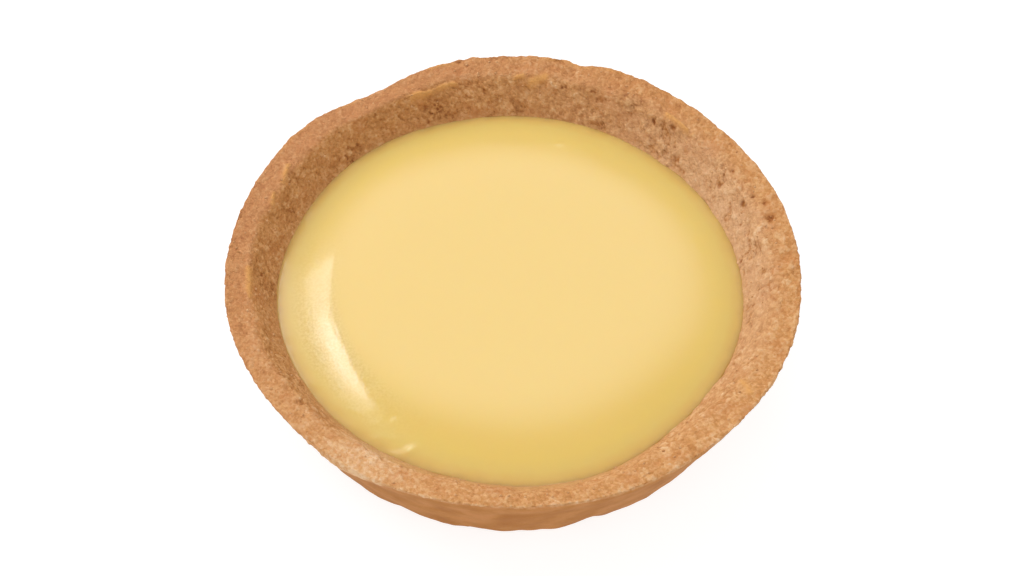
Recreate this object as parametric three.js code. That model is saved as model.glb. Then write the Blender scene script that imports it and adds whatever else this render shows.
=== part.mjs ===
// Egg tart: a smooth egg custard baked in a round shortcrust shell.
// Millimetres, +Z up. The origin is the middle of the flat base, and -Y is the front.
// The shell is one pressed piece, a little uneven. The custard fills it up to a low, flat-topped dome.
import * as THREE from "three";

// The outside of the shell
const RIM_RADIUS = 37.5; // the widest ring, at the lip
const HEIGHT = 16.5; // from the base to the crest of the rim
const BASE_RADIUS = 29.9; // where the wall would meet the base if the edge were sharp
const BASE_ROUNDING = 3.0;
const LIP_THICKNESS = 0.7; // the lip is the top band of the wall
const LIP_OVERHANG = 0.3; // how far the lip stands out from the wall
const LIP_ROUNDING = 0.3;

// The rim and the inside of the shell
const RIM_WIDTH = 3.7; // from the lip to the ridge above the inner wall
const RIM_DIP = 0.4; // how far the ridge lies below the crest
const RIDGE_ROUNDING = 2.0;
const RIDGE_RADIUS = RIM_RADIUS - RIM_WIDTH;
const RIDGE_HEIGHT = HEIGHT - RIM_DIP;
const HIP_RADIUS = 29.9; // where the flared band of the inner wall ends
const HIP_HEIGHT = 11.2;
const HIP_ROUNDING = 5.0;
const FLOOR_RADIUS = 25.6; // where the lower inner wall would meet the floor
const FLOOR_THICKNESS = 4.0;
const FLOOR_ROUNDING = 3.5;
const PRESS_OFFSET = -0.35; // the inside was pressed this far off centre, along X

// The custard
const CUSTARD_EDGE_HEIGHT = 11.9;
const CUSTARD_DOME = 1.3; // how far the middle stands above the edge
const DOME_POWER = 5; // the higher it is, the flatter the middle and the steeper the shoulder
const CUSTARD_GAP = 0.3; // clearance between the custard and the shell

// How uneven the shell is, in waves round the rim. Each has a number of swells, a size, and
// the angle of one swell, in degrees from +X towards +Y.
const OUTSIDE_WAVES = [
  { swells: 2, size: 0.15, at: -39 },
  { swells: 3, size: 0.13, at: -21 },
  { swells: 4, size: 0.06, at: 4 },
  { swells: 5, size: 0.07, at: -12 },
  { swells: 6, size: 0.07, at: 7 },
  { swells: 7, size: 0.07, at: -23 },
];
const HOLLOW_WAVES = [
  { swells: 2, size: 0.3, at: -67 },
  { swells: 3, size: 0.1, at: 36 },
  { swells: 4, size: 0.2, at: 10 },
  { swells: 5, size: 0.15, at: -7 },
  { swells: 6, size: 0.08, at: -7 },
  { swells: 7, size: 0.1, at: -23 },
];
const HEIGHT_WAVES = [
  { swells: 1, size: 0.3, at: 87 },
  { swells: 3, size: 0.12, at: 35 },
  { swells: 7, size: 0.1, at: 10 },
];
// Where the rim was pushed in and down, or chipped.
const DENTS = [
  { at: 121, width: 12, inward: 1.2, down: 0.7 },
  { at: 76, width: 3, inward: 0.4, down: 0.3 },
];

const SEGMENTS = 96; // round the axis
const WALL_ROWS = 5;
const CORNER_STEPS = 3;
const DOME_RINGS = 8;
const RING_CROWDING = 1.6; // above 1, the rings lie closer together on the custard's shoulder

const CRUST_COLOUR = 0xcd9263;
const CUSTARD_COLOUR = 0xf6d68b;

const { degToRad, lerp, mapLinear, smoothstep } = THREE.MathUtils;

// The corner of a profile as a round arc, from one tangent point to the other.
function roundCorner(before, corner, after, radius) {
  const toBefore = before.clone().sub(corner).normalize();
  const toAfter = after.clone().sub(corner).normalize();
  const halfAngle = Math.acos(toBefore.dot(toAfter)) / 2;
  const tangent = radius / Math.tan(halfAngle);
  const inward = toBefore.clone().add(toAfter).normalize();
  const centre = corner.clone().addScaledVector(inward, radius / Math.sin(halfAngle));
  const start = corner.clone().addScaledVector(toBefore, tangent).sub(centre).angle();
  const end = corner.clone().addScaledVector(toAfter, tangent).sub(centre).angle();
  const clockwise = toBefore.cross(toAfter) > 0;
  const arc = new THREE.EllipseCurve(centre.x, centre.y, radius, radius, start, end, clockwise);
  return arc.getPoints(CORNER_STEPS);
}

// A profile from its corners, as points of (radius, height, distance off centre along X).
// A corner is { radius, height, offCentre, rounding, rows }: rounding makes it an arc, and rows
// divides the straight stretch that follows it.
function profileOf(corners) {
  const places = corners.map((corner) => new THREE.Vector2(corner.radius, corner.height));
  const points = [];
  corners.forEach((corner, i) => {
    const flat = corner.rounding
      ? roundCorner(places[i - 1], places[i], places[i + 1], corner.rounding)
      : [places[i]];
    const bend = flat.map((place) => new THREE.Vector3(place.x, place.y, corner.offCentre ?? 0));
    const rows = corners[i - 1]?.rows ?? 1;
    const from = points.at(-1);
    for (let row = 1; row < rows; row++) points.push(from.clone().lerp(bend[0], row / rows));
    points.push(...bend);
  });
  return points;
}

function waveSum(waves, angle) {
  const heights = waves.map(({ swells, size, at }) => size * Math.cos(swells * (angle - degToRad(at))));
  return heights.reduce((sum, height) => sum + height, 0);
}

// How much of a dent is felt at an angle, from 0 to 1.
function dentShare(dent, angle) {
  const turn = angle - degToRad(dent.at);
  const away = Math.atan2(Math.sin(turn), Math.cos(turn)) / degToRad(dent.width);
  return Math.exp(-away * away);
}

// Moves a point of the even shell to its place in the uneven one. The base stays round and flat,
// the wall swells more and more towards the rim, the hollow in waves of its own, and only the rim
// goes up and down.
function makeUneven(point, offCentre) {
  const radius = Math.hypot(point.x, point.y);
  const angle = Math.atan2(point.y, point.x);
  const wallShare = smoothstep(point.z, 0, HEIGHT) * smoothstep(radius, 0, HIP_RADIUS);
  const topShare = smoothstep(point.z, HIP_HEIGHT, HEIGHT);
  const rimShare = topShare * smoothstep(radius, HIP_RADIUS, RIDGE_RADIUS);
  const lipShare = topShare * smoothstep(radius, HIP_RADIUS, RIM_RADIUS);
  const outerRadius = mapLinear(point.z, 0, HEIGHT, BASE_RADIUS, RIM_RADIUS);
  const hollowShare = smoothstep(outerRadius - radius, 0, RIM_WIDTH);
  let outward = wallShare * lerp(waveSum(OUTSIDE_WAVES, angle), waveSum(HOLLOW_WAVES, angle), hollowShare);
  let upward = rimShare * waveSum(HEIGHT_WAVES, angle);
  for (const dent of DENTS) {
    outward -= lipShare * dent.inward * dentShare(dent, angle);
    upward -= lipShare * dent.down * dentShare(dent, angle);
  }
  const stretch = radius > 0 ? 1 + outward / radius : 1;
  point.set(point.x * stretch + offCentre, point.y * stretch, point.z + upward);
}

// The solid that a profile makes when it is turned round the axis, made uneven.
function unevenLathe(profile) {
  const geometry = new THREE.LatheGeometry(profile, SEGMENTS).rotateX(Math.PI / 2);
  const position = geometry.getAttribute("position");
  const point = new THREE.Vector3();
  for (let i = 0; i < position.count; i++) {
    point.fromBufferAttribute(position, i);
    makeUneven(point, profile[i % profile.length].z);
    position.setXYZ(i, point.x, point.y, point.z);
  }
  geometry.computeVertexNormals();
  return geometry;
}

// The hollow of the shell and what fills it lie off centre together.
function pressedOffCentre(corner) {
  return { ...corner, offCentre: PRESS_OFFSET };
}

function namedMesh(name, geometry, colour, roughness) {
  const material = new THREE.MeshStandardMaterial({ color: colour, roughness, metalness: 0 });
  const mesh = new THREE.Mesh(geometry, material);
  mesh.name = name;
  return mesh;
}

function crust() {
  const lipHeight = HEIGHT - LIP_THICKNESS;
  const outside = [
    { radius: 0, height: 0 },
    { radius: BASE_RADIUS, height: 0, rounding: BASE_ROUNDING, rows: WALL_ROWS },
    { radius: RIM_RADIUS - LIP_OVERHANG, height: lipHeight },
    { radius: RIM_RADIUS, height: lipHeight + LIP_OVERHANG },
    { radius: RIM_RADIUS, height: HEIGHT, rounding: LIP_ROUNDING, rows: 2 },
  ];
  const inside = [
    { radius: RIDGE_RADIUS, height: RIDGE_HEIGHT, rounding: RIDGE_ROUNDING, rows: 2 },
    { radius: HIP_RADIUS, height: HIP_HEIGHT, rounding: HIP_ROUNDING },
    { radius: FLOOR_RADIUS, height: FLOOR_THICKNESS, rounding: FLOOR_ROUNDING },
    { radius: 0, height: FLOOR_THICKNESS },
  ];
  const profile = profileOf([...outside, ...inside.map(pressedOffCentre)]);
  return namedMesh("crust", unevenLathe(profile), CRUST_COLOUR, 0.9);
}

function custard() {
  const level = CUSTARD_EDGE_HEIGHT;
  const edgeRadius = mapLinear(level, HIP_HEIGHT, RIDGE_HEIGHT, HIP_RADIUS, RIDGE_RADIUS) - CUSTARD_GAP;
  const bottom = FLOOR_THICKNESS + CUSTARD_GAP;
  const corners = [
    { radius: 0, height: bottom },
    { radius: FLOOR_RADIUS - CUSTARD_GAP, height: bottom, rounding: FLOOR_ROUNDING },
    { radius: HIP_RADIUS - CUSTARD_GAP, height: HIP_HEIGHT, rounding: HIP_ROUNDING },
    { radius: edgeRadius, height: level },
  ];
  for (let ring = 1; ring <= DOME_RINGS; ring++) {
    const share = 1 - (ring / DOME_RINGS) ** RING_CROWDING;
    const rise = CUSTARD_DOME * (1 - share ** DOME_POWER);
    corners.push({ radius: edgeRadius * share, height: level + rise });
  }
  const profile = profileOf(corners.map(pressedOffCentre));
  return namedMesh("custard", unevenLathe(profile), CUSTARD_COLOUR, 0.3);
}

const tart = new THREE.Group();
tart.add(crust(), custard());

export default tart;
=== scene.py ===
"""Egg tart: a grainy shortcrust shell filled with smooth set egg custard.

The tart stands on its flat base at the origin, +Z up, with its front towards -Y.
"""
import math
import random
from collections import namedtuple

import bmesh
import bpy
from mathutils import Euler, Matrix, Vector, geometry, noise
from mathutils.bvhtree import BVHTree


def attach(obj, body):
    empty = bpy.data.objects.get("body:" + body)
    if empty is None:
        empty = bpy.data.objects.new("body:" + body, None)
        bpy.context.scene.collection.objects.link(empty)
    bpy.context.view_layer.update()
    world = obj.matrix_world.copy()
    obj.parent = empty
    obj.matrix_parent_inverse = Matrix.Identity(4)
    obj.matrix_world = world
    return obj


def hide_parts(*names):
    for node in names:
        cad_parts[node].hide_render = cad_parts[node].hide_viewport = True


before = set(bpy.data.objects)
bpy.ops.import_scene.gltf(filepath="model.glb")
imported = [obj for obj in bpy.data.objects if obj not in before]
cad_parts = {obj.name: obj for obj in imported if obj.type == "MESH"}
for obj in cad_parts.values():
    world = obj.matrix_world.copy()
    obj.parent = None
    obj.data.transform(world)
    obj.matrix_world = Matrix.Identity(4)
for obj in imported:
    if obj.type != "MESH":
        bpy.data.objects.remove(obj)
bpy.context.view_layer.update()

MM = 0.001

# ---------------------------------------------------------------- sizes, in millimetres

# The outside of the shell
RIM_RADIUS = 37.5
HEIGHT = 16.5
BASE_RADIUS = 29.9  # where the wall would meet the base if the edge were sharp
BASE_ROUNDING = 3.0
LIP_THICKNESS = 0.7
LIP_HEIGHT = HEIGHT - LIP_THICKNESS  # the lower edge of the lip
LIP_OVERHANG = 0.3
LIP_ROUNDING = 0.3

# The rim and the inside of the shell
RIDGE_RADIUS = 33.8  # the ridge between the rim and the inner wall
RIDGE_HEIGHT = 16.1
RIDGE_ROUNDING = 2.0
HIP_RADIUS = 29.9  # where the flared band of the inner wall ends, just under the custard
HIP_HEIGHT = 11.2
HIP_ROUNDING = 5.0
FLOOR_RADIUS = 25.6
FLOOR_THICKNESS = 4.0
FLOOR_ROUNDING = 3.5
PRESS_OFFSET = -0.35  # the inside was pressed this far off centre, along X

# The custard
CUSTARD_EDGE_HEIGHT = 11.9
CUSTARD_EDGE_RADIUS = 30.4
CUSTARD_DOME = 1.3
DOME_POWER = 5
CUSTARD_OVERLAP = 0.35  # how deep the custard reaches into the shell, so that no gap shows

# Swells round the rim: number, size, and the angle of one swell in degrees
OUTSIDE_WAVES = [
    (2, 0.15, -39), (3, 0.13, -21), (4, 0.06, 4), (5, 0.07, -12), (6, 0.07, 7), (7, 0.07, -23),
]
HOLLOW_WAVES = [
    (2, 0.3, -67), (3, 0.1, 36), (4, 0.2, 10), (5, 0.15, -7), (6, 0.08, -7), (7, 0.1, -23),
]
HEIGHT_WAVES = [(1, 0.3, 87), (3, 0.12, 35), (7, 0.1, 10)]
# Dents in the rim: angle, width in degrees, how far in, how far down
DENTS = [(121, 12, 1.2, 0.7), (76, 3, 0.4, 0.3)]
# Where the foot of the wall is pushed in: angle, width in degrees, how far in
FOOT_DENTS = [(-71, 4, 0.45), (-100, 3, 0.15), (-118, 4, 0.2), (-83, 2, 0.12)]
# Thin fins of dense dough on the ridge: where they start and end, seen from above, half width, height
FINS = [
    ((-13.6, 30.7), (-10.6, 31.8), 0.28, 0.4), ((-10.0, 32.2), (-7.6, 33.0), 0.25, 0.3),
    ((0.2, 33.9), (1.4, 34.2), 0.25, 0.2), ((2.5, 33.4), (4.3, 34.0), 0.5, 0.1),
    ((20.6, 27.0), (23.7, 23.8), 0.35, 0.45), ((-30.4, 15.4), (-29.8, 18.1), 0.35, 0.25),
    ((-31.7, 11.9), (-31.4, 13.5), 0.3, 0.2), ((-34.2, -3.4), (-34.4, 1.0), 0.42, 0.3),
    ((29.2, -17.1), (30.3, -19.2), 0.4, 0.2),
]
# Holes in the crumb: place, half width, depth
PITS = [
    ((18.8, 26.7, 15.3), 0.27, 0.45), ((27.3, 16.2, 14.3), 0.4, 0.25), ((28.6, 13.0, 13.8), 0.3, 0.175),
    ((30.1, 12.5, 15.6), 0.45, 0.325), ((31.6, 13.0, 16.3), 0.3, 0.3), ((33.2, 11.8, 16.7), 0.4, 0.2),
    ((33.9, 9.2, 16.6), 0.6, 0.35), ((29.1, 17.2, 16.4), 0.3, 0.2), ((32.7, 1.4, 15.3), 0.5, 0.125),
    ((32.1, -1.1, 14.4), 0.35, 0.1), ((12.4, 30.4, 15.4), 0.3, 0.25), ((14.6, 29.6, 15.2), 0.35, 0.2),
    ((6.0, 36.9, 16.6), 0.4, 0.25), ((-26.9, -20.6, 15.6), 0.4, 0.175), ((10.8, 31.5, 15.9), 0.35, 0.25),
    ((21.3, 25.2, 15.9), 0.5, 0.225),
]
# Bubbles, folds and dimples in the custard's skin: place, half length, half width, turn in degrees, height
SKIN_MARKS = [
    ((-13.1, -26.1), 1.2, 0.6, 27, 0.155), ((-15.5, -20.9), 0.5, 0.35, 40, -0.02),
    ((-17.4, -21.6), 0.5, 0.3, 10, 0.012), ((-17.2, -23.9), 0.7, 0.35, 30, 0.04),
    ((-20.0, -19.7), 0.8, 0.3, -40, 0.02), ((-14.8, -24.0), 0.5, 0.3, -30, 0.03),
    ((6.7, 25.1), 0.6, 0.4, 0, 0.05), ((16.7, 1.9), 1.4, 0.9, 30, -0.03),
    ((15.5, -5.2), 1.0, 0.8, 0, -0.025),
]

# Sides of the tart that differ from the rest: angle and width in degrees
LIP_SAG = (-126, 8)  # the lip runs down onto the wall
FLUSH_WALL = (-60, 30)  # the wall stands out almost as far as the lip
# the inner wall on this side is paler and pinker
PALE_PINK_SIDE = (20, 48)
ROSY_SIDE = (140, 80)
GLAZE_AND_HIGHLIGHT_SIDE = (95, 45)  # the lip has a buttery glaze, and its golden colour there is partly a painted highlight
PALE_LIP = (-80, 50)
SOAKED_SIDE = (-102, 32)  # the custard soaked furthest up the inner wall
FROTH_HIGHLIGHT_SIDE = (201, 27)  # tiny bubbles lie under the custard's skin; its colour there is partly a painted highlight
# Where the crumb is closed and even: angle, width in degrees, share
CALM_SIDES = [(180, 62, 1.0), (-85, 45, 0.8), (5, 40, 0.5)]
# Painted light and shade round the shell, lighter where the share is above naught and darker below it:
# angle, width in degrees, share
PAINTED_LIGHT_SIDES = [(115, 36, -0.09), (175, 25, -0.07), (62, 17, -0.07), (-44, 14, 0.04), (-122, 9, 0.22)]

# How large the crumbs of the relief are
COARSE_CRUMB = 0.95
FINE_CRUMB = 0.5

# Where froth and its painted highlight lie under the custard's skin, counted from its edge: it starts, is
# full, thins and ends
FROTH_START = 1.0
FROTH_FULL = 3.0
FROTH_THINS = 6.6
FROTH_END = 8.6

SEED = 4  # of everything random, so that every run makes the same tart
CRUMB_COUNT = 160
CRUMB_RADII = (0.1, 0.24)
CRUMB_BAND = (31.3, 36.6)  # how far from the middle of the hollow the loose crumbs lie

# How finely the pieces are divided. The shell stays just under 200,000 triangles.
SECTORS = 16
STEPS_IN_SECTOR = 31
CORNER_STEPS = 5
DOME_RINGS = 90
COARSE_SPACING = 4.0
WALL_SPACING = 0.7
FINE_SPACING = 0.41  # halved once more before the grains are raised


# ---------------------------------------------------------------- shared helpers

def smoothstep(value, low, high):
    share = min(max((value - low) / (high - low), 0.0), 1.0)
    return share * share * (3 - 2 * share)


def swell(place, size, elsewhere=(0, 0, 0)):
    """Smooth noise from -1 to 1 with swells of a size. elsewhere gives noise unlike that of other calls."""
    return noise.noise(place / size + Vector(elsewhere))


def side_share(at, width, angle):
    """How much of what lies at one side is felt at an angle, from 0 to 1."""
    turn = angle - math.radians(at)
    away = math.atan2(math.sin(turn), math.cos(turn)) / math.radians(width)
    return math.exp(-away * away)


def side_sum(sides, angle):
    return sum(amount * side_share(at, width, angle) for at, width, amount in sides)


def outline(bm, corners, spacing_at):
    """Draws a profile in the XZ plane from (radius, height, rounding) corners, rounded and divided."""
    verts = [bm.verts.new((radius, 0, height)) for radius, height, _ in corners]
    for pair in zip(verts, verts[1:]):
        bm.edges.new(pair)
    places = [vert.co.copy() for vert in verts]
    for i, (_, _, rounding) in enumerate(corners):
        if rounding:
            half_angle = (places[i - 1] - places[i]).angle(places[i + 1] - places[i]) / 2
            arc_start = rounding / math.tan(half_angle)  # how far from the corner the arc starts
            bmesh.ops.bevel(bm, geom=[verts[i]], offset=arc_start, offset_type="OFFSET", affect="VERTICES",
                            segments=CORNER_STEPS, profile=0.5, material=-1)
    for edge in bm.edges[:]:
        middle = (edge.verts[0].co + edge.verts[1].co) / 2
        cuts = math.ceil(edge.calc_length() / spacing_at(middle.x, middle.z)) - 1
        if cuts > 0:
            bmesh.ops.subdivide_edges(bm, edges=[edge], cuts=cuts)


def turn_round(bm):
    """Spins a profile into a closed solid: one sector first, then copies of that sector."""
    sector = math.tau / SECTORS
    turn = dict(cent=(0, 0, 0), axis=(0, 0, 1), dvec=(0, 0, 0), use_merge=False)
    bmesh.ops.spin(bm, geom=bm.verts[:] + bm.edges[:], angle=sector, steps=STEPS_IN_SECTOR, **turn)
    bmesh.ops.spin(bm, geom=bm.verts[:] + bm.edges[:] + bm.faces[:], angle=math.tau - sector,
                   steps=SECTORS - 1, use_duplicate=True, **turn)
    bmesh.ops.remove_doubles(bm, verts=bm.verts, dist=0.001)
    bmesh.ops.recalc_face_normals(bm, faces=bm.faces)


def finish_piece(bm, name, material, replaced=None):
    """Turns a bmesh in millimetres into a smooth-shaded piece in metres that rides on the tart."""
    bmesh.ops.scale(bm, vec=(MM, MM, MM), verts=bm.verts)
    mesh = bpy.data.meshes.new(name)
    bm.to_mesh(mesh)
    bm.free()
    mesh.polygons.foreach_set("use_smooth", [True] * len(mesh.polygons))
    mesh.materials.append(material)
    piece = bpy.data.objects.new(name, mesh)
    bpy.context.scene.collection.objects.link(piece)
    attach(piece, "root")
    if replaced:
        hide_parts(replaced)
    return piece


# ---------------------------------------------------------------- how uneven the shell is

def wave_sum(waves, angle):
    return sum(size * math.cos(swells * (angle - math.radians(at))) for swells, size, at in waves)


def outer_radius(height):
    return BASE_RADIUS + (RIM_RADIUS - BASE_RADIUS) * height / HEIGHT


def uneven(place, off_centre):
    """Moves a place of the even shell to where it lies in the uneven one."""
    radius = math.hypot(place.x, place.y)
    angle = math.atan2(place.y, place.x)
    wall_share = smoothstep(place.z, 0, HEIGHT) * smoothstep(radius, 0, HIP_RADIUS)
    top_share = smoothstep(place.z, HIP_HEIGHT, HEIGHT)
    rim_share = top_share * smoothstep(radius, HIP_RADIUS, RIDGE_RADIUS)
    lip_share = top_share * smoothstep(radius, HIP_RADIUS, RIM_RADIUS)
    hollow_share = smoothstep(outer_radius(place.z) - radius, 0, RIM_RADIUS - RIDGE_RADIUS)
    outside = wave_sum(OUTSIDE_WAVES, angle)
    hollow = wave_sum(HOLLOW_WAVES, angle)
    outward = wall_share * (outside + (hollow - outside) * hollow_share)
    upward = rim_share * wave_sum(HEIGHT_WAVES, angle)
    for at, width, inward, down in DENTS:
        outward -= lip_share * inward * side_share(at, width, angle)
        upward -= lip_share * down * side_share(at, width, angle)
    stretch = 1 + outward / radius if radius > 0 else 1
    return Vector((place.x * stretch + off_centre, place.y * stretch, place.z + upward))


def loosen(place):
    """Lets the ridge wander, and the lip's lower edge run up and down, as dough pressed by hand does."""
    radius = math.hypot(place.x, place.y)
    near_ridge = smoothstep(place.z, HIP_HEIGHT + 1.5, RIDGE_HEIGHT)
    near_ridge *= smoothstep(radius, RIM_RADIUS - 0.3, RIDGE_RADIUS)
    near_lip = smoothstep(radius, RIM_RADIUS - 1.8, RIM_RADIUS - LIP_OVERHANG)
    near_lip *= smoothstep(place.z, LIP_HEIGHT - 3, LIP_HEIGHT)
    near_lip *= smoothstep(place.z, HEIGHT, LIP_HEIGHT)
    wander = 0.45 * swell(place, 5.5) + 0.25 * swell(place, 2.1)
    around = Vector((place.x, place.y, 0))
    sag = 0.1 - 1.5 * side_share(*LIP_SAG, math.atan2(place.y, place.x))
    place.z += near_lip * (sag + 0.3 * swell(around, 1.6) + 0.2 * swell(around, 0.7))
    place.xy *= 1 + near_ridge * wander / radius if radius else 1


def pressed_by_hand(place, inside):
    """Where a place of the even shell ends up."""
    radius = math.hypot(place.x, place.y)
    pressed = 1 if place.z < RIDGE_HEIGHT - 1 else smoothstep(radius, RIM_RADIUS - 0.5, RIDGE_RADIUS)
    if place.z > HIP_HEIGHT:
        loosen(place)
    return uneven(place, PRESS_OFFSET * pressed if inside else 0)


# ---------------------------------------------------------------- the relief of the crust

def broken_crumbs(place, size):
    """Crumbs of a size, each at a level of its own from -1 to 1, and how deep in a groove the place is."""
    distances, points = noise.voronoi(place / size)
    return noise.cell(points[0] * 9.7), 1 - smoothstep(distances[1] - distances[0], 0, 0.3)


def sandy_relief(place):
    """Heights in the open, sandy crumb, in millimetres: of its crumbs, and of the lumps under them."""
    warped = place + noise.noise_vector(place / 1.1) * 0.3
    coarse, coarse_groove = broken_crumbs(warped, COARSE_CRUMB)
    fine, fine_groove = broken_crumbs(warped + Vector((7, 3, 1)), FINE_CRUMB)
    calm = side_sum(CALM_SIDES, math.atan2(place.y, place.x))
    openness = smoothstep(swell(place, 3.7, (5, 60, 0)) - 0.25 * calm, -0.35, 0.35)
    crumbs = (0.35 + 0.65 * openness) * (0.08 * coarse - 0.06 * coarse_groove)
    crumbs += 0.04 * fine - 0.03 * fine_groove
    crumbs -= 0.3 * openness * max(0.0, swell(place, 0.7, (40, 0, 0)) - 0.45)
    crumbs *= 1 - 0.15 * calm
    lumps = (1 - 0.6 * calm) * (0.22 * swell(place, 2.6) + 0.12 * swell(place, 1.2))
    return crumbs, lumps


def wall_relief(place):
    """Height of the outer wall, which the mould pressed smooth, in millimetres. Its foot is more worn."""
    angle = math.atan2(place.y, place.x)
    along = Vector((place.x, place.y, place.z * 2.5))
    lumps = 0.06 * swell(along, 6) + 0.12 * swell(place, 2.7) + 0.04 * swell(place, 1.1)
    scuffs = 0.4 * max(0.0, swell(place, 1.4, (9, 9, 9)) - 0.5)
    flush = 0.2 * smoothstep(place.z, 11, 15) * side_share(*FLUSH_WALL, angle)
    worn = 0.16 * swell(place, 2.2) - side_sum(FOOT_DENTS, angle)
    return lumps - scuffs + flush + worn * smoothstep(place.z, 5, 1)


def pit_depth(place):
    ragged = place + noise.noise_vector(place / 0.6) * 0.25
    return sum(depth * math.exp(-(ragged - Vector(at)).length_squared / half_width ** 2)
               for at, half_width, depth in PITS
               if (place - Vector(at)).length_squared < 12 * half_width ** 2)


def fin_share(place):
    """How much of a fin stands at a place, from 0 to 1, and its height."""
    flat = place.xy + noise.noise_vector(place / 1.2).xy * 0.15
    shares = [(0, 0)]
    for start, end, half_width, height in FINS:
        nearest, along = geometry.intersect_point_line(flat, start, end)
        if along < 0 or along > 1:
            nearest = Vector(start if along < 0 else end)
        away = (flat - nearest.xy).length / half_width
        shares.append((math.exp(-away ** 2), height))
    share, height = max(shares)
    return share * smoothstep(swell(place, 0.9, (0, 30, 0)), -0.55, -0.15), height


# ---------------------------------------------------------------- the crust

def is_inside(radius, height):
    """Whether a place of the profile is on the hollow side of the shell, the rim's top included."""
    return height > HEIGHT - 0.6 or (height > 1 and radius < outer_radius(height) - 1.5)


def shows_grain(radius, height):
    return height > LIP_HEIGHT - 0.3 or (height > HIP_HEIGHT - 0.3 and is_inside(radius, height))


def crust_spacing(radius, height):
    if shows_grain(radius, height):
        return FINE_SPACING
    on_wall = radius > BASE_RADIUS - 2 and not is_inside(radius, height)
    return WALL_SPACING if on_wall else COARSE_SPACING


def crust_shape():
    corners = [
        (0, 0, 0),
        (BASE_RADIUS, 0, BASE_ROUNDING),
        (RIM_RADIUS - LIP_OVERHANG, LIP_HEIGHT, 0),
        (RIM_RADIUS, LIP_HEIGHT + LIP_OVERHANG, 0),
        (RIM_RADIUS, HEIGHT, LIP_ROUNDING),
        (RIDGE_RADIUS, RIDGE_HEIGHT, RIDGE_ROUNDING),
        (HIP_RADIUS, HIP_HEIGHT, HIP_ROUNDING),
        (FLOOR_RADIUS, FLOOR_THICKNESS, FLOOR_ROUNDING),
        (0, FLOOR_THICKNESS, 0),
    ]
    bm = bmesh.new()
    outline(bm, corners, crust_spacing)
    turn_round(bm)
    grainy = [edge for edge in bm.edges
              if all(shows_grain(math.hypot(end.co.x, end.co.y), end.co.z) for end in edge.verts)]
    bmesh.ops.subdivide_edges(bm, edges=grainy, cuts=1, use_grid_fill=True)
    return bm


# What a spot of the shell is like: inside is true or false, and the others are shares from 0 to 1
Spot = namedtuple("Spot", "inside sandy floury glazed rosy soaked")
# What the shell's mesh tells its material at each vertex
SHELL_ATTRIBUTES = ("grain", "sandy", "fin", "floury", "rosy", "soaked", "lighter")


def spot_at(place):
    """What the even shell is like at a place."""
    radius = math.hypot(place.x, place.y)
    angle = math.atan2(place.y, place.x)
    inside = is_inside(radius, place.z)
    if inside:
        sandy = smoothstep(place.z, HIP_HEIGHT - 0.4, HIP_HEIGHT)
    else:
        sandy = smoothstep(place.z, LIP_HEIGHT - 0.8, LIP_HEIGHT)
    floury = side_share(*PALE_PINK_SIDE, angle) * smoothstep(radius, RIM_RADIUS - 1.5, RIDGE_RADIUS - 1.5)
    at_lip = smoothstep(radius, RIM_RADIUS - 0.9, RIM_RADIUS - 0.3)
    # golden lip at the back: partly glaze, partly a painted highlight
    glazed = 0.55 * at_lip * side_share(*GLAZE_AND_HIGHLIGHT_SIDE, angle)
    glazed *= smoothstep(swell(place, 4, (0, 0, 20)), -0.2, 0.3)
    on_rim = smoothstep(radius, RIDGE_RADIUS - 0.4, RIDGE_RADIUS + 0.6)
    rosy = side_share(*ROSY_SIDE, angle) * (1 - glazed) * on_rim
    reach = 0.4 + 3.7 * side_share(*SOAKED_SIDE, angle) + 0.5 * swell(place, 2)
    soaked = smoothstep(place.z - CUSTARD_EDGE_HEIGHT, reach, reach - 0.8) if inside else 0
    return Spot(inside, sandy, floury, glazed, rosy, soaked)


def shell_relief(place, spot, fin):
    """How far the shell stands out at a place, what part of that is grain, and how much lighter it is
    painted, as painted light and shade.
    """
    radius = math.hypot(place.x, place.y)
    angle = math.atan2(place.y, place.x)
    height = 0.0
    grain = 0.0
    # painted light and shade that differ from side to side
    lighter = side_sum(PAINTED_LIGHT_SIDES, angle)
    if spot.sandy > 0:
        grain, lumps = sandy_relief(place)
        grain *= spot.sandy * (1 - 0.7 * fin) * (1 - 0.8 * spot.soaked) * (1 - 0.6 * spot.glazed)
        rougher_lip = 0.4 * smoothstep(radius, RIM_RADIUS - 1.2, RIM_RADIUS - 0.2)
        rougher_ridge = 0.5 * smoothstep(radius, RIDGE_RADIUS + 0.8, RIDGE_RADIUS - 0.6)
        grain *= 1 + rougher_lip + rougher_ridge
        lip_edge = smoothstep(radius, RIM_RADIUS - 0.8, RIM_RADIUS - 0.2)
        pit = pit_depth(place)
        # the pit lowers the grain, which also paints the hole darker: painted shade
        grain -= pit
        height = grain + spot.sandy * (lumps * (1 - 0.4 * lip_edge) - 0.08)
        # a paler lip at the front, and painted shade that darkens the pits
        lighter += 0.1 * lip_edge * side_share(*PALE_LIP, angle) - 0.8 * pit
    if spot.sandy < 1 and not spot.inside and place.z > 0.05:
        height += (1 - spot.sandy) * wall_relief(place) * smoothstep(place.z, 0, 0.8)
    return height, grain, lighter


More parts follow.
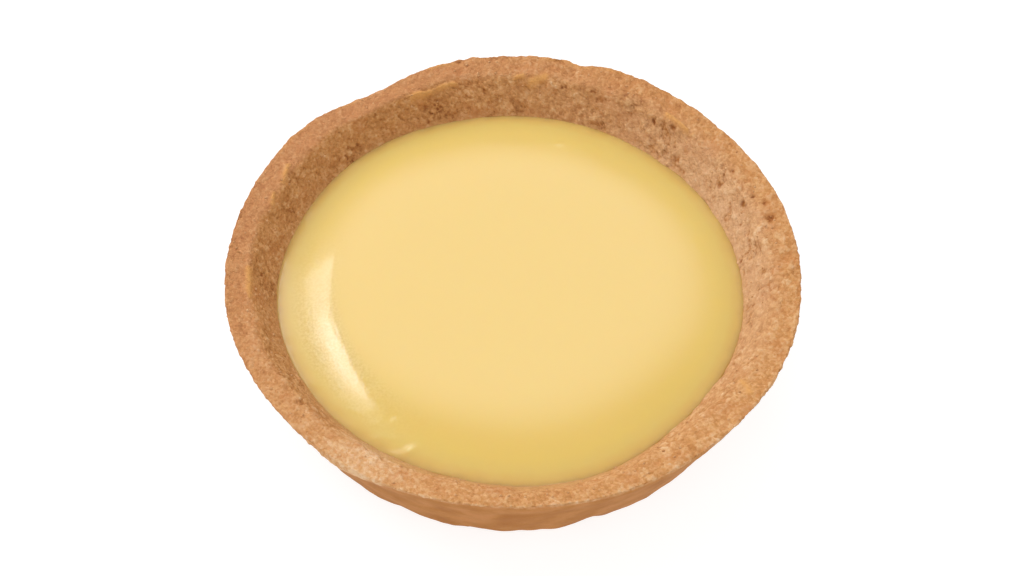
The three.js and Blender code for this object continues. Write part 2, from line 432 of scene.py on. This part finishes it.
def crust(material):
    bm = crust_shape()
    spots = []
    for vert in bm.verts:
        spots.append(spot_at(vert.co))
        vert.co = pressed_by_hand(vert.co, spots[-1].inside)
    bm.normal_update()
    layers = {name: bm.verts.layers.float.new(name) for name in SHELL_ATTRIBUTES}
    normals = [vert.normal.copy() for vert in bm.verts]
    for vert, normal, spot in zip(bm.verts, normals, spots):
        fin, fin_height = fin_share(vert.co) if vert.co.z > RIDGE_HEIGHT - 1.5 else (0, 0)
        height, grain, lighter = shell_relief(vert.co, spot, fin)
        vert[layers["grain"]] = grain
        vert[layers["sandy"]] = spot.sandy
        # the fin colour also lies on the back lip, where it is partly a painted highlight
        vert[layers["fin"]] = max(fin, spot.glazed)
        vert[layers["floury"]] = spot.floury * smoothstep(grain, -0.25, -0.05)
        vert[layers["rosy"]] = spot.rosy * spot.sandy
        vert[layers["soaked"]] = spot.soaked
        # painted light and shade: lighter or darker by side, and darker in the pits
        vert[layers["lighter"]] = lighter
        vert.co += normal * height
        vert.co.z += fin * fin_height
    return finish_piece(bm, "shortcrust_shell", material, replaced="crust")


# ---------------------------------------------------------------- the custard

def custard_height(radius):
    """Height of the custard's top, before the wrinkles of its skin."""
    share = min(radius / CUSTARD_EDGE_RADIUS, 1)
    return CUSTARD_EDGE_HEIGHT + CUSTARD_DOME * (1 - share ** DOME_POWER)


def mark_height(place, centre, half_length, half_width, turn, height):
    away = place.xy - Vector(centre)
    away.rotate(Matrix.Rotation(math.radians(-turn), 2))
    return height * math.exp(-(away.x / half_length) ** 2 - (away.y / half_width) ** 2)


def skin_height(place, from_edge):
    """Height of the wrinkles in the custard's skin, which gets looser towards the edge."""
    loose = smoothstep(from_edge, 7, 3)
    ripples = 0.006 * swell(place, 1.1) + 0.015 * swell(place, 3.5)
    clinging = 0.15 * swell(place, 2.5) * smoothstep(from_edge, 1.2, 0)
    marks = sum(mark_height(place, *mark) for mark in SKIN_MARKS)
    return 0.02 * swell(place, 11) + loose * ripples + clinging + marks


def custard(material):
    bottom = FLOOR_THICKNESS - CUSTARD_OVERLAP
    corners = [
        (0, bottom, 0),
        (FLOOR_RADIUS + CUSTARD_OVERLAP, bottom, FLOOR_ROUNDING),
        (HIP_RADIUS + CUSTARD_OVERLAP, HIP_HEIGHT - 0.4, 0),
        (CUSTARD_EDGE_RADIUS + CUSTARD_OVERLAP, CUSTARD_EDGE_HEIGHT - 0.2, 0),
    ]
    for ring in range(DOME_RINGS + 1):
        radius = CUSTARD_EDGE_RADIUS * (1 - ring / DOME_RINGS)
        corners.append((radius, custard_height(radius), 0))
    bm = bmesh.new()
    outline(bm, corners, lambda radius, height: COARSE_SPACING)
    turn_round(bm)
    edge_layer = bm.verts.layers.float.new("from_edge")
    frothy_layer = bm.verts.layers.float.new("froth_and_highlight")
    for vert in bm.verts:
        from_edge = CUSTARD_EDGE_RADIUS - math.hypot(vert.co.x, vert.co.y)
        froth_and_highlight = side_share(*FROTH_HIGHLIGHT_SIDE, math.atan2(vert.co.y, vert.co.x))
        vert[edge_layer] = from_edge
        froth_and_highlight *= smoothstep(from_edge, FROTH_START, FROTH_FULL)
        vert[frothy_layer] = froth_and_highlight * smoothstep(from_edge, FROTH_END, FROTH_THINS)
        if vert.co.z > CUSTARD_EDGE_HEIGHT - 0.1:  # only the top has a skin
            vert.co.z += skin_height(vert.co, from_edge)
        vert.co = uneven(vert.co, PRESS_OFFSET)
    return finish_piece(bm, "egg_custard_filling", material, replaced="custard")


# ---------------------------------------------------------------- loose crumbs

def crumbs(material, bed):
    """Crumbs that broke off and stick to the rim and the inner wall, sunk into it by half their size."""
    dice = random.Random(SEED)
    surface = BVHTree.FromPolygons([vert.co / MM for vert in bed.data.vertices],
                                   [face.vertices for face in bed.data.polygons])
    bm = bmesh.new()
    for _ in range(CRUMB_COUNT):
        size = Vector([dice.uniform(*CRUMB_RADII) for _ in range(3)])
        turn = Euler([dice.uniform(0, math.tau) for _ in range(3)])
        radius = dice.uniform(*CRUMB_BAND)
        angle = dice.uniform(0, math.tau)
        above = Vector((radius * math.cos(angle) + PRESS_OFFSET, radius * math.sin(angle), 2 * HEIGHT))
        place, _, _, _ = surface.ray_cast(above, Vector((0, 0, -1)))
        made = bmesh.ops.create_icosphere(bm, subdivisions=1, radius=1,
                                          matrix=Matrix.LocRotScale(place, turn, size))
        for vert in made["verts"]:
            vert.co += noise.noise_vector(vert.co / 0.25) * 0.2 * min(size)
    bmesh.ops.recalc_face_normals(bm, faces=bm.faces)
    return finish_piece(bm, "loose_crumbs", material)


# ---------------------------------------------------------------- materials

def colour(hex_value):
    """An sRGB hex colour as linear RGBA."""
    channels = [int(hex_value[i:i + 2], 16) / 255 for i in (1, 3, 5)]
    return [c / 12.92 if c <= 0.04045 else ((c + 0.055) / 1.055) ** 2.4 for c in channels] + [1]


def add(tree, kind, inputs=None, stops=None, **settings):
    """Adds a node. inputs gives a socket's value or the output linked to it, stops a ramp's colours."""
    made = tree.nodes.new(kind)
    for name, value in settings.items():
        setattr(made, name, value)
    for socket, value in (inputs or {}).items():
        if isinstance(value, bpy.types.NodeSocket):
            tree.links.new(value, made.inputs[socket])
        else:
            made.inputs[socket].default_value = value
    if stops:
        ramp = made.color_ramp.elements
        while len(ramp) < len(stops):
            ramp.new(1.0)
        for element, (position, hex_value) in zip(ramp, stops):
            element.position = position
            element.color = colour(hex_value)
    return made


def new_material(name):
    material = bpy.data.materials.new(name)
    material.use_nodes = True
    material.node_tree.nodes.clear()
    return material, material.node_tree


def sandy_tone(tree, grains, grain, sources):
    """Colour of the sandy crumb: lighter where it stands out and darker in its grooves and pits, as painted
    light and shade, and tinted a little grain by grain.
    """
    own = add(tree, "ShaderNodeSeparateColor", {"Color": grains.outputs["Color"]})
    tint = add(tree, "ShaderNodeValToRGB", {"Fac": own.outputs[0]}, stops=[
        (0.1, "#fff7f2"), (0.4, "#fdfaf7"), (0.6, "#fdfaf6"), (0.9, "#fffaef")])
    # the crumb's height sets its level: painted light on the grains, painted shade in the grooves and pits
    level = add(tree, "ShaderNodeMapRange", {
        "Value": grain, "From Min": -0.2, "From Max": 0.14, "To Min": -0.15, "To Max": 0.31}).outputs[0]
    for source, share in ((own.outputs[1], 0.22), *sources):
        level = add(tree, "ShaderNodeMath", {
            0: source, 1: share, 2: level}, operation="MULTIPLY_ADD").outputs[0]
    crumb = add(tree, "ShaderNodeValToRGB", {"Fac": level}, stops=[
        (0.2, "#945a2e"), (0.42, "#bb824d"), (0.6, "#ce955e"), (0.75, "#dca975"), (1.0, "#edcaa1")])
    return add(tree, "ShaderNodeMix", {0: 1.0, 6: crumb.outputs[0], 7: tint.outputs[0]},
               data_type="RGBA", blend_type="MULTIPLY").outputs[2]


def wall_tone(tree, speck, patches):
    """Colour of the wall, which the mould pressed smooth: browner, and faintly mottled."""
    mottle = add(tree, "ShaderNodeMath", {0: speck, 1: 0.3, 2: patches}, operation="MULTIPLY_ADD")
    return add(tree, "ShaderNodeValToRGB", {"Fac": mottle.outputs[0]}, stops=[
        (0.42, "#a7692e"), (0.65, "#b37639"), (0.88, "#c1884c")]).outputs[0]


def laid_over(tree, tone, layers):
    """A tone with other colours over it: where each of them lies, its share, and its colour."""
    for where, share, hex_value in layers:
        amount = add(tree, "ShaderNodeMath", {0: where, 1: share}, operation="MULTIPLY").outputs[0]
        tone = add(tree, "ShaderNodeMix", {0: amount, 6: tone, 7: colour(hex_value)},
                   data_type="RGBA").outputs[2]
    return tone


def shortcrust_material():
    """Shortcrust, pressed and baked: a matt, sandy crumb, painted lighter on the grains and darker between
    them as painted light and shade.
    """
    material, tree = new_material("baked_shortcrust")
    place = add(tree, "ShaderNodeTexCoord").outputs["Object"]
    grain, sandy, fin, floury, rosy, soaked, lighter = (
        add(tree, "ShaderNodeAttribute", attribute_name=name).outputs["Fac"] for name in SHELL_ATTRIBUTES)
    # baked patches, clumps of crumb, specks, and single grains of flour and sugar
    patches = add(tree, "ShaderNodeTexNoise", {
        "Vector": place, "Scale": 1 / (4 * MM), "Detail": 3.0}).outputs["Fac"]
    clumps = add(tree, "ShaderNodeTexNoise", {
        "Vector": place, "Scale": 1 / (1.2 * MM), "Detail": 1.0}).outputs["Fac"]
    specks = add(tree, "ShaderNodeTexNoise", {
        "Vector": place, "Scale": 1 / (0.42 * MM), "Detail": 3.0, "Roughness": 0.6})
    speck = specks.outputs["Fac"]
    shift = add(tree, "ShaderNodeVectorMath", {
        0: specks.outputs["Color"], 1: (0.25 * MM,) * 3, 2: place}, operation="MULTIPLY_ADD")
    grains = add(tree, "ShaderNodeTexVoronoi", {"Vector": shift.outputs[0], "Scale": 1 / (0.36 * MM)})
    # the level is also moved by the painted light and shade of each side
    crumb = sandy_tone(tree, grains, grain, [
        (speck, 0.45), (clumps, 0.24), (patches, 0.21), (lighter, 1.0)])
    wall = wall_tone(tree, speck, patches)
    tone = add(tree, "ShaderNodeMix", {0: sandy, 6: wall, 7: crumb}, data_type="RGBA").outputs[2]
    # browner patches, one paler and one rosier side, dense buttery fins together with the back lip's glaze,
    # whose golden colour is partly a painted highlight, and soaked crumb above the custard
    browner = add(tree, "ShaderNodeMapRange", {
        "Value": patches, "From Min": 0.5, "From Max": 0.75}).outputs[0]
    tone = laid_over(tree, tone, [
        (browner, 0.5, "#bd7640"), (floury, 0.4, "#e6c2a0"), (rosy, 0.35, "#c68765"),
        (fin, 0.75, "#e2a55f"), (soaked, 0.6, "#cb995d")])
    # grains too fine for the mesh
    rough = add(tree, "ShaderNodeMath", {0: grains.outputs["Distance"], 1: -0.5, 2: speck},
                operation="MULTIPLY_ADD")
    rough = add(tree, "ShaderNodeMath", {0: rough.outputs[0], 1: sandy}, operation="MULTIPLY")
    bump = add(tree, "ShaderNodeBump", {
        "Height": rough.outputs[0], "Strength": 0.9, "Distance": 0.19 * MM})
    shader = add(tree, "ShaderNodeBsdfPrincipled", {
        "Base Color": tone, "Roughness": 0.75, "Specular IOR Level": 0.12, "Normal": bump.outputs[0]})
    add(tree, "ShaderNodeOutputMaterial", {"Surface": shader.outputs[0]})
    return material


def crumb_material():
    """Crumbs of baked shortcrust, each with a tint of its own."""
    material, tree = new_material("baked_crumbs")
    place = add(tree, "ShaderNodeTexCoord").outputs["Object"]
    tints = add(tree, "ShaderNodeTexNoise", {"Vector": place, "Scale": 1 / (0.9 * MM), "Detail": 2.0})
    tone = add(tree, "ShaderNodeValToRGB", {"Fac": tints.outputs["Fac"]}, stops=[
        (0.3, "#bd8450"), (0.7, "#e2b382")])
    shader = add(tree, "ShaderNodeBsdfPrincipled", {
        "Base Color": tone.outputs[0], "Roughness": 0.75, "Specular IOR Level": 0.3})
    add(tree, "ShaderNodeOutputMaterial", {"Surface": shader.outputs[0]})
    return material


def custard_tone(tree, place, bubbles, from_edge, froth_and_highlight):
    """Darker towards the crust: partly browned where it touches it, partly painted shade of the crust's
    wall. Paler from there to the middle, and mottled by the bubbles, with lighter flecks over the froth that
    are partly a painted highlight.
    """
    patches = add(tree, "ShaderNodeTexNoise", {"Vector": place, "Scale": 1 / (2 * MM), "Detail": 2.0})
    inward = add(tree, "ShaderNodeMath", {0: patches.outputs["Fac"], 1: 0.8, 2: from_edge},
                 operation="MULTIPLY_ADD")
    inward = add(tree, "ShaderNodeMapRange", {
        "Value": inward.outputs[0], "From Min": 0.4, "From Max": 6.4})
    # darker towards the crust: partly browned custard, partly painted shade of the crust's wall
    tone = add(tree, "ShaderNodeValToRGB", {"Fac": inward.outputs[0]}, stops=[
        (0.0, "#cba662"), (0.12, "#d8b566"), (0.3, "#ddbf6a"), (0.6, "#e2c268"), (1.0, "#e4c26a")])
    # lighter, whiter flecks over a darker body: partly froth, partly a painted highlight
    froth_highlight_tone = add(tree, "ShaderNodeValToRGB", {"Fac": bubbles}, stops=[(0.34, "#d3b25d"), (0.66, "#e2c57a")])
    return add(tree, "ShaderNodeMix", {0: froth_and_highlight, 6: tone.outputs[0], 7: froth_highlight_tone.outputs[0]},
               data_type="RGBA").outputs[2]


def skin_bump(tree, bubbles, from_edge, froth_and_highlight):
    """The skin is smooth in the middle, and finely pitted over the bubbles."""
    pitted = add(tree, "ShaderNodeMapRange", {
        "Value": from_edge, "From Min": 8.0, "From Max": 5.0, "To Min": 0.05, "To Max": 1.0},
        interpolation_type="SMOOTHSTEP")
    pitted = add(tree, "ShaderNodeMath", {0: froth_and_highlight, 1: pitted.outputs[0], 2: 0.04},
                 operation="MULTIPLY_ADD")
    skin = add(tree, "ShaderNodeMath", {0: bubbles, 1: pitted.outputs[0]}, operation="MULTIPLY")
    return add(tree, "ShaderNodeBump", {
        "Height": skin.outputs[0], "Strength": 1.0, "Distance": 0.012 * MM}).outputs[0]


def custard_material():
    """Set egg custard, baked under a thin skin: a glossy surface over a soft, slightly translucent body."""
    material, tree = new_material("set_egg_custard")
    place = add(tree, "ShaderNodeTexCoord").outputs["Object"]
    from_edge = add(tree, "ShaderNodeAttribute", attribute_name="from_edge").outputs["Fac"]
    froth_and_highlight = add(tree, "ShaderNodeAttribute", attribute_name="froth_and_highlight").outputs["Fac"]
    # tiny bubbles just under the skin, on the side where it dried
    bubbles = add(tree, "ShaderNodeTexNoise", {
        "Vector": place, "Scale": 1 / (0.34 * MM), "Detail": 1.0}).outputs["Fac"]
    tone = custard_tone(tree, place, bubbles, from_edge, froth_and_highlight)
    bump = skin_bump(tree, bubbles, from_edge, froth_and_highlight)
    # the skin is duller near the edge
    dull = add(tree, "ShaderNodeMapRange", {
        "Value": from_edge, "From Min": 6.0, "From Max": 2.0, "To Min": 0.05, "To Max": 0.2})
    shader = add(tree, "ShaderNodeBsdfPrincipled", {
        "Base Color": tone, "Roughness": dull.outputs[0], "IOR": 1.42,
        "Subsurface Weight": 0.3, "Subsurface Radius": (1.0, 0.6, 0.2), "Subsurface Scale": 1.5 * MM,
        "Normal": bump})
    add(tree, "ShaderNodeOutputMaterial", {"Surface": shader.outputs[0]})
    return material


def board_material():
    """Matt white paper board on a light table, which lifts its shadows a little."""
    material, tree = new_material("white_board")
    shader = add(tree, "ShaderNodeBsdfPrincipled", {
        "Base Color": colour("#959595"), "Roughness": 0.9, "Specular IOR Level": 0.0,
        "Emission Color": (1, 1, 1, 1), "Emission Strength": 0.83})
    add(tree, "ShaderNodeOutputMaterial", {"Surface": shader.outputs[0]})
    return material


# ---------------------------------------------------------------- camera, light and floor, in metres

CAMERA_ELEVATION = 52.5  # in degrees
CAMERA_DISTANCE = 0.6
CAMERA_LENS = 158.8  # focal length, in millimetres
CAMERA_FOOT = Vector((0, 0, 1.2 * MM))  # what the distance and the elevation are counted from
CAMERA_TARGET = Vector((-0.1 * MM, 5.9 * MM, 5.7 * MM))

# Soft lights: name, angles round and up in degrees, width, height, brightness of the face, roll in degrees
PANELS = [
    ("strip_light", 112.4, 55.0, 0.105, 0.35, 4.9, -18),
    ("strip_core", 110.9, 56.7, 0.052, 0.16, 9.0, -18),
    ("key_softbox", 145, 38, 0.88, 0.68, 3.2, 0),
    ("front_fill", -80, 60, 0.7, 0.5, 2.4, 0),
]
PANEL_DISTANCE = 1.2
PANEL_TARGET = Vector((0, 0, 0.012))  # level with the custard's edge

AMBIENT = 0.73  # of the walls and the ceiling all round
GLOW = 3.9  # of the bright ceiling behind the tart
GLOW_PLACE = (91.2, 50.0)  # angles round and up, in degrees
GLOW_SIZE = (0.205, 0.163, 8.0)  # half its width and height, as sines of the angles, and no end in depth

BOARD_HALF_WIDTH = 3.0
BOARD_DROP = 0.02 * MM  # so that the board and the tart's base don't share one plane


def direction(azimuth, elevation):
    """A unit vector from its angle round from +X towards +Y and its angle above the floor, in degrees."""
    flat = math.cos(math.radians(elevation))
    return Vector((flat * math.cos(math.radians(azimuth)), flat * math.sin(math.radians(azimuth)),
                   math.sin(math.radians(elevation))))


def aim(thing, place, target):
    thing.location = place
    thing.rotation_euler = (target - place).to_track_quat("-Z", "Y").to_euler()


def camera():
    data = bpy.data.cameras.new("camera")
    data.lens = CAMERA_LENS
    data.clip_start = 0.01
    made = bpy.data.objects.new("camera", data)
    bpy.context.scene.collection.objects.link(made)
    aim(made, CAMERA_FOOT + CAMERA_DISTANCE * direction(-90, CAMERA_ELEVATION), CAMERA_TARGET)
    bpy.context.scene.camera = made


def panel(name, azimuth, elevation, width, height, brightness, roll):
    """A soft rectangular light that faces the tart."""
    data = bpy.data.lights.new(name, "AREA")
    data.shape = "RECTANGLE"
    data.size = width
    data.size_y = height
    data.energy = brightness * math.pi * width * height
    made = bpy.data.objects.new(name, data)
    bpy.context.scene.collection.objects.link(made)
    aim(made, PANEL_DISTANCE * direction(azimuth, elevation), PANEL_TARGET)
    made.rotation_euler.rotate_axis("Z", math.radians(roll))


def board():
    bm = bmesh.new()
    bmesh.ops.create_grid(bm, x_segments=1, y_segments=1, size=BOARD_HALF_WIDTH,
                          matrix=Matrix.Translation((0, 0, -BOARD_DROP)))
    mesh = bpy.data.meshes.new("floor")
    bm.to_mesh(mesh)
    bm.free()
    mesh.materials.append(board_material())
    made = bpy.data.objects.new("floor", mesh)
    bpy.context.scene.collection.objects.link(made)


def room():
    """An even pale room, with a broad bright patch that fades out at its edges."""
    world = bpy.data.worlds.new("studio")
    world.use_nodes = True
    world.node_tree.nodes.clear()
    bpy.context.scene.world = world
    tree = world.node_tree
    toward = add(tree, "ShaderNodeTexCoord").outputs["Generated"]
    turned = direction(*GLOW_PLACE).to_track_quat("Z", "Y").to_euler()
    across = add(tree, "ShaderNodeMapping", {"Vector": toward, "Rotation": turned, "Scale": GLOW_SIZE},
                 vector_type="TEXTURE")
    away = add(tree, "ShaderNodeVectorMath", {0: across.outputs[0]}, operation="LENGTH")
    strength = add(tree, "ShaderNodeMapRange", {
        "Value": away.outputs["Value"], "From Min": 1.5, "From Max": 0.5, "To Min": AMBIENT,
        "To Max": AMBIENT + GLOW}, interpolation_type="SMOOTHSTEP")
    background = add(tree, "ShaderNodeBackground", {"Strength": strength.outputs[0]})
    add(tree, "ShaderNodeOutputWorld", {"Surface": background.outputs[0]})


def studio():
    bpy.context.scene.view_settings.view_transform = "Standard"
    camera()
    room()
    for light in PANELS:
        panel(*light)
    board()


noise.seed_set(SEED)
studio()
shell = crust(shortcrust_material())
crumbs(crumb_material(), shell)
custard(custard_material())
